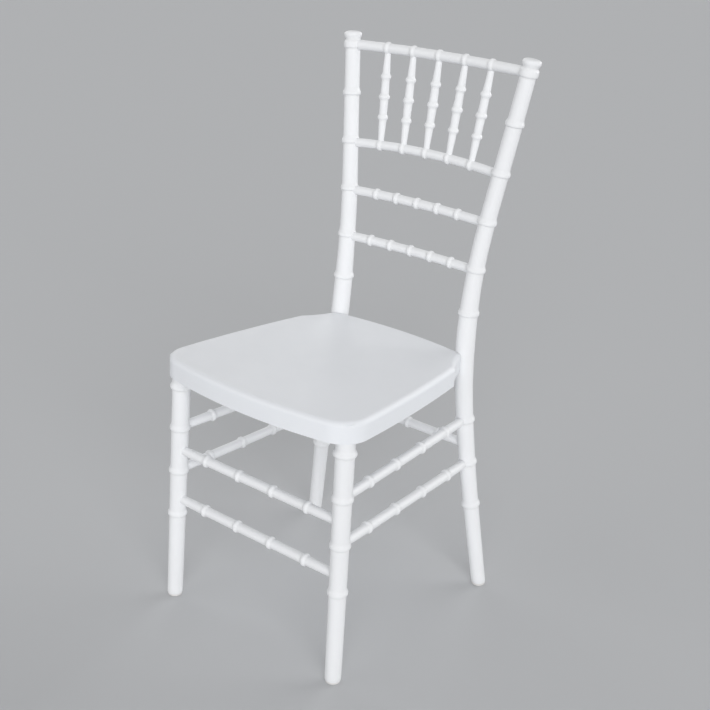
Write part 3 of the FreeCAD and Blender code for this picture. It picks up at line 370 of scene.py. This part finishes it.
# rails across the back: bowed backwards and arched upwards, straight where they enter a post
rails = {
    "topRail": {"part": "top_rail", "height": 899.3, "size": 16.4, "bow": 9.1, "arch": 2.0,
                "pitch": 51.6},
    "spindleRail": {"part": "spindle_rail", "height": 737.9, "size": 15.0, "bow": 8.8,
                    "arch": 6.5, "pitch": 46.1},
    "upperLadderRail": {"part": "ladder_rail_upper", "height": 658.3, "size": 15.2, "bow": 4.2,
                        "arch": 2.7, "pitch": 42.0},
    "lowerLadderRail": {"part": "ladder_rail_lower", "height": 578.7, "size": 15.2, "bow": 4.5,
                        "arch": 1.2, "pitch": 42.0},
}
railShape = {"stub": 22.0, "blend": 1.0, "beadRise": 2.3, "beads": 5, "sides": 36}


def railLine(rail):
    end = postLine(rail["height"])[0]
    half = end.x
    stub = half - railShape["stub"]

    def at(x):
        share = 1 - (min(abs(x), stub) / half) ** 2
        slope = -2 * x / half ** 2
        if abs(x) > stub:
            slope = -math.copysign(share / railShape["stub"], x)
            share *= (half - abs(x)) / railShape["stub"]
        return (Vector((x, end.y + rail["bow"] * share, end.z + rail["arch"] * share)),
                Vector((1, rail["bow"] * slope, rail["arch"] * slope)).normalized())
    return at, half


def makeRails():
    middle = (railShape["beads"] - 1) / 2
    for name, rail in rails.items():
        line, half = railLine(rail)
        marks = [((i - middle) * rail["pitch"], "bead", railShape["beadRise"])
                 for i in range(railShape["beads"])]
        tapers = [(-half, rail["size"]), (half, rail["size"])]
        stations = turnedStations(line, tapers, railShape["blend"], marks, -half, half)
        fit(growRod(name, stations, railShape["sides"]), rail["part"])


makeRails()
print("rails bowed")


# spindles between the two upper rails, slim at the ends, with three beads
spindle = {
    "count": 5,
    "footDepth": 4.3,
    "headDepth": 5.0,
    "endLength": 9.8,
    "endSize": 10.0,
    "flankSize": 13.2,
    "bellySize": 14.4,
    "level": 6.0,
    "blend": 4.0,
    "gap": 8.0,
    "beadShare": 0.21,
    "beadRise": 2.3,
    "sides": 36,
}


def straightLine(start, end):
    heading = (end - start).normalized()

    def at(along):
        return start + heading * along, heading
    return at, (end - start).length


def makeSpindles():
    middle = (spindle["count"] - 1) // 2
    topLine = railLine(rails["topRail"])[0]
    lowLine = railLine(rails["spindleRail"])[0]
    for i in range(middle + 1):
        start = lowLine(i * rails["spindleRail"]["pitch"])[0]
        line, length = straightLine(start, topLine(i * rails["topRail"]["pitch"])[0])
        half, reach = length / 2, spindle["beadShare"] * length
        # the size stays level by each bead
        tapers = [(spindle["endLength"], spindle["endSize"])]
        for place, size in ((half - reach, "flankSize"), (half, "bellySize"),
                            (half + reach, "flankSize")):
            tapers += [(place - spindle["level"], spindle[size]),
                       (place + spindle["level"], spindle[size])]
        tapers.append((length - spindle["endLength"], spindle["endSize"]))
        marks = [(half + step * reach, "bead", spindle["beadRise"]) for step in (-1, 0, 1)]
        stations = turnedStations(line, tapers, spindle["blend"], marks, spindle["footDepth"],
                                  length - spindle["headDepth"], spindle["gap"])
        right = growRod(f"spindleRight{i}" if i else "spindleMiddle", stations, spindle["sides"])
        if i:
            left = mirroredCopy(right, f"spindleLeft{i}")
            fit(left, f"spindle_{middle + 1 - i}")
        fit(right, f"spindle_{middle + 1 + i}")


makeSpindles()
print("spindles set")


# stretchers: straight, with four beads, from the axis of one leg or post to the next
stretchers = {
    # name: part, from, at height, to, diameter
    "frontStretcherUpper": ("front_stretcher_upper", "leg", 278.9, "otherLeg", 16.0),
    "frontStretcherLower": ("front_stretcher_lower", "leg", 188.2, "otherLeg", 16.0),
    "rearStretcher": ("rear_stretcher", "post", 273.6, "otherPost", 15.6),
    "sideStretcherUpper": ("side_stretcher_right_upper", "leg", 318.7, "post", 16.0),
    "sideStretcherLower": ("side_stretcher_right_lower", "leg", 241.0, "post", 16.0),
}
stretcherShape = {"stub": 22.0, "endSize": 15.0, "beads": 4, "beadShare": 0.207, "beadRise": 2.3,
                  "level": 6.0, "blend": 6.0, "sides": 36}


def makeStretchers():
    middle = (stretcherShape["beads"] - 1) / 2
    stub, endSize, level = (stretcherShape[key] for key in ("stub", "endSize", "level"))
    for name, (part, fromWhat, height, toWhat, diameter) in stretchers.items():
        places = {"leg": legLine(height)[0], "post": postLine(height)[0]}
        places["otherLeg"] = places["leg"] * Vector((-1, 1, 1))
        places["otherPost"] = places["post"] * Vector((-1, 1, 1))
        line, length = straightLine(places[fromWhat], places[toWhat])
        beadPlaces = [(0.5 + (i - middle) * stretcherShape["beadShare"]) * length
                      for i in range(stretcherShape["beads"])]
        tapers = [(stub, endSize), (beadPlaces[0] - level, diameter),
                  (beadPlaces[-1] + level, diameter), (length - stub, endSize)]
        marks = [(place, "bead", stretcherShape["beadRise"]) for place in beadPlaces]
        stations = turnedStations(line, tapers, stretcherShape["blend"], marks, 0.0, length)
        piece = growRod(name, stations, stretcherShape["sides"])
        if "right" in part:
            piece.name = name + "Right"
            fit(mirroredCopy(piece, name + "Left"), part.replace("right", "left"))
        fit(piece, part)


makeStretchers()
print("stretchers set")


# finish of moulded plastic: a faint drift of tone, fine mould texture, painted shade in the
# creases, grime near the floor, and a polish that changes over the surface
surface = {
    "patchScale": 38.0,
    "patchShadeAndGrime": (0.55, 1.25),
    "floorDustHeight": 0.11,
    "driftScale": 7.0,
    # lines: angle, scale across and along
    "scuffLines": [(24.0, (5.0, 420.0, 5.0)), (-58.0, (4.0, 360.0, 4.0))],
    "scuffRange": (0.62, 0.72),
    "polishScale": 55.0,
    "polishRange": (0.32, 0.68),
    "shadeAndGrimeDulls": 0.25,
    "waveScale": 42.0,
    "waveStrength": 0.5,
    "waveDepth": 0.00008,
    "grainDepth": 0.00006,
}


def mouldedSkin():
    group = bpy.data.node_groups.new("mouldedSkin", 'ShaderNodeTree')
    face = group.interface
    for label in ("Colour", "Shade And Grime Colour"):
        face.new_socket(label, in_out='INPUT', socket_type='NodeSocketColor')
    for label in ("Tone Drift", "Crease Shade", "Floor Grime", "Polish Low", "Polish High",
                  "Grain Scale", "Grain Depth", "Scuffs"):
        face.new_socket(label, in_out='INPUT', socket_type='NodeSocketFloat')
    face.new_socket("Colour", in_out='OUTPUT', socket_type='NodeSocketColor')
    face.new_socket("Roughness", in_out='OUTPUT', socket_type='NodeSocketFloat')
    face.new_socket("Normal", in_out='OUTPUT', socket_type='NodeSocketVector')
    nodes, links = group.nodes, group.links
    given = nodes.new("NodeGroupInput")
    result = nodes.new("NodeGroupOutput")
    place = nodes.new("ShaderNodeTexCoord").outputs["Object"]

    def feed(value, socket):
        # a number is set on the socket, anything else is linked to it
        if isinstance(value, (int, float)):
            socket.default_value = value
        else:
            links.new(value, socket)

    def noise(scale, detail, roughness=0.5, source=place):
        node = nodes.new("ShaderNodeTexNoise")
        for value, label in ((source, "Vector"), (scale, "Scale"), (detail, "Detail"),
                             (roughness, "Roughness")):
            feed(value, node.inputs[label])
        return node.outputs[0]

    def combine(kind, first, second, clamp=False):
        node = nodes.new("ShaderNodeMath")
        node.operation = kind
        node.use_clamp = clamp
        feed(first, node.inputs[0])
        feed(second, node.inputs[1])
        return node.outputs[0]

    def spread(source, fromRange, toRange):
        node = nodes.new("ShaderNodeMapRange")
        for value, label in zip((source, *fromRange, *toRange),
                                ("Value", "From Min", "From Max", "To Min", "To Max")):
            feed(value, node.inputs[label])
        return node.outputs["Result"]

    def blendColour(factor, first, second):
        node = nodes.new("ShaderNodeMix")
        node.data_type = 'RGBA'
        links.new(factor, node.inputs["Factor"])
        # a mix node's colours are its inputs 6 and 7
        links.new(first, node.inputs[6])
        links.new(second, node.inputs[7])
        return node.outputs[2]

    # painted shade in the creases, and grime in a soft band above the floor, laid on in one grey
    creaseShade = nodes.new("ShaderNodeAttribute")
    creaseShade.attribute_name = "creaseShade"
    split = nodes.new("ShaderNodeSeparateXYZ")
    links.new(place, split.inputs[0])
    patches = noise(surface["patchScale"], detail=4.0, roughness=0.6)
    paintedCreaseShade = combine('MULTIPLY', creaseShade.outputs["Fac"], given.outputs["Crease Shade"])
    band = spread(split.outputs["Z"], (0.0, surface["floorDustHeight"]), (1.0, 0.0))
    nearFloor = combine('MULTIPLY', band, given.outputs["Floor Grime"])
    shadeAndGrime = combine('MULTIPLY', combine('ADD', paintedCreaseShade, nearFloor),
                   spread(patches, (0.3, 0.7), surface["patchShadeAndGrime"]), clamp=True)

    # tone drifts over a hand's width, and the painted crease shade and the floor grime lie over it
    cloud = combine('SUBTRACT', noise(surface["driftScale"], detail=3.0), 0.5)
    drift = combine('MULTIPLY', cloud, given.outputs["Tone Drift"])
    shade = nodes.new("ShaderNodeHueSaturation")
    links.new(combine('ADD', drift, 1.0), shade.inputs["Value"])
    links.new(given.outputs["Colour"], shade.inputs["Color"])
    links.new(blendColour(shadeAndGrime, shade.outputs["Color"], given.outputs["Shade And Grime Colour"]),
              result.inputs["Colour"])

    # fine rubbed lines in two directions take the polish off
    rubbed = []
    for angle, stretch in surface["scuffLines"]:
        turn = nodes.new("ShaderNodeMapping")
        turn.inputs["Rotation"].default_value = (0.0, 0.0, math.radians(angle))
        turn.inputs["Scale"].default_value = stretch
        links.new(place, turn.inputs["Vector"])
        lines = noise(1.0, detail=2.0, source=turn.outputs[0])
        rubbed.append(spread(lines, surface["scuffRange"], (0.0, 1.0)))
    scuffs = combine('MULTIPLY', combine('MAXIMUM', *rubbed), given.outputs["Scuffs"])
    polish = spread(noise(surface["polishScale"], detail=3.0, roughness=0.55),
                    surface["polishRange"],
                    (given.outputs["Polish Low"], given.outputs["Polish High"]))
    dulled = combine('ADD', combine('ADD', polish, scuffs),
                     combine('MULTIPLY', shadeAndGrime, surface["shadeAndGrimeDulls"]), clamp=True)
    links.new(dulled, result.inputs["Roughness"])

    # mould grain over slow waves left by cooling
    waves = nodes.new("ShaderNodeBump")
    feed(surface["waveStrength"], waves.inputs["Strength"])
    feed(surface["waveDepth"], waves.inputs["Distance"])
    feed(noise(surface["waveScale"], detail=1.0), waves.inputs["Height"])
    grain = nodes.new("ShaderNodeBump")
    feed(surface["grainDepth"], grain.inputs["Distance"])
    links.new(given.outputs["Grain Depth"], grain.inputs["Strength"])
    links.new(noise(given.outputs["Grain Scale"], detail=2.0, roughness=0.6),
              grain.inputs["Height"])
    links.new(waves.outputs["Normal"], grain.inputs["Normal"])
    links.new(grain.outputs["Normal"], result.inputs["Normal"])
    return group


skin = mouldedSkin()

# each plastic sets how strong the painted shade in the turned creases is, and how much grime lies
# near the floor
plastics = {
    "framePlastic": {
        "Colour": (0.845, 0.855, 0.872, 1.0), "Shade And Grime Colour": (0.60, 0.60, 0.59, 1.0),
        "Tone Drift": 0.05, "Crease Shade": 0.20, "Floor Grime": 0.07, "Polish Low": 0.30,
        "Polish High": 0.42, "Grain Scale": 650.0, "Grain Depth": 0.35, "Scuffs": 0.05,
    },
    "seatPlastic": {
        "Colour": (0.822, 0.842, 0.876, 1.0), "Shade And Grime Colour": (0.60, 0.60, 0.59, 1.0),
        "Tone Drift": 0.05, "Crease Shade": 0.0, "Floor Grime": 0.0, "Polish Low": 0.34,
        "Polish High": 0.46, "Grain Scale": 560.0, "Grain Depth": 0.45, "Scuffs": 0.12,
    },
    "glidePlastic": {
        "Colour": (0.80, 0.795, 0.785, 1.0), "Shade And Grime Colour": (0.50, 0.49, 0.47, 1.0),
        "Tone Drift": 0.06, "Crease Shade": 0.0, "Floor Grime": 0.30, "Polish Low": 0.55,
        "Polish High": 0.70, "Grain Scale": 900.0, "Grain Depth": 0.6, "Scuffs": 0.15,
    },
}
plasticIor = 1.49


def makePlastic(name, settings):
    plastic = bpy.data.materials.new(name)
    plastic.use_nodes = True
    nodes, links = plastic.node_tree.nodes, plastic.node_tree.links
    shader = nodes["Principled BSDF"]
    finish = nodes.new("ShaderNodeGroup")
    finish.node_tree = skin
    for label, value in settings.items():
        finish.inputs[label].default_value = value
    links.new(finish.outputs["Colour"], shader.inputs["Base Color"])
    links.new(finish.outputs["Roughness"], shader.inputs["Roughness"])
    links.new(finish.outputs["Normal"], shader.inputs["Normal"])
    shader.inputs["IOR"].default_value = plasticIor
    return plastic


metals = {
    "zincSteel": {"light": (0.66, 0.67, 0.68, 1.0), "dark": (0.50, 0.51, 0.53, 1.0),
                  "low": 0.24, "high": 0.42, "scale": 240.0},
    "turnedBrass": {"light": (0.80, 0.62, 0.32, 1.0), "dark": (0.62, 0.45, 0.20, 1.0),
                    "low": 0.22, "high": 0.40, "scale": 300.0},
}
metalMarks = {"detail": 4.0, "strength": 0.3, "depth": 0.00003}


def makeMetal(name, settings):
    metal = bpy.data.materials.new(name)
    metal.use_nodes = True
    nodes, links = metal.node_tree.nodes, metal.node_tree.links
    shader = nodes["Principled BSDF"]
    shader.inputs["Metallic"].default_value = 1.0
    place = nodes.new("ShaderNodeTexCoord")
    cloud = nodes.new("ShaderNodeTexNoise")
    cloud.inputs["Scale"].default_value = settings["scale"]
    cloud.inputs["Detail"].default_value = metalMarks["detail"]
    links.new(place.outputs["Object"], cloud.inputs["Vector"])
    colour = nodes.new("ShaderNodeMix")
    colour.data_type = 'RGBA'
    colour.inputs[6].default_value = settings["dark"]
    colour.inputs[7].default_value = settings["light"]
    links.new(cloud.outputs[0], colour.inputs["Factor"])
    links.new(colour.outputs[2], shader.inputs["Base Color"])
    polish = nodes.new("ShaderNodeMapRange")
    polish.inputs["To Min"].default_value = settings["high"]
    polish.inputs["To Max"].default_value = settings["low"]
    links.new(cloud.outputs[0], polish.inputs["Value"])
    links.new(polish.outputs["Result"], shader.inputs["Roughness"])
    marks = nodes.new("ShaderNodeBump")
    marks.inputs["Strength"].default_value = metalMarks["strength"]
    marks.inputs["Distance"].default_value = metalMarks["depth"]
    links.new(cloud.outputs[0], marks.inputs["Height"])
    links.new(marks.outputs["Normal"], shader.inputs["Normal"])
    return metal


def paint(piece, material):
    piece.data.materials.clear()
    piece.data.materials.append(material)


def paintAll():
    finishes = {name: makePlastic(name, settings) for name, settings in plastics.items()}
    finishes.update({name: makeMetal(name, settings) for name, settings in metals.items()})
    for piece in framePieces:
        paint(piece, finishes["framePlastic"])
    slots = {"frame_plastic": "framePlastic", "seat_plastic": "seatPlastic",
             "glide_plastic": "glidePlastic", "zinc_steel": "zincSteel",
             "brass_insert": "turnedBrass"}
    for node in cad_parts.values():
        slot = node.material_slots[0].material.name
        paint(node, finishes[slots[slot]])


paintAll()
print("materials made")
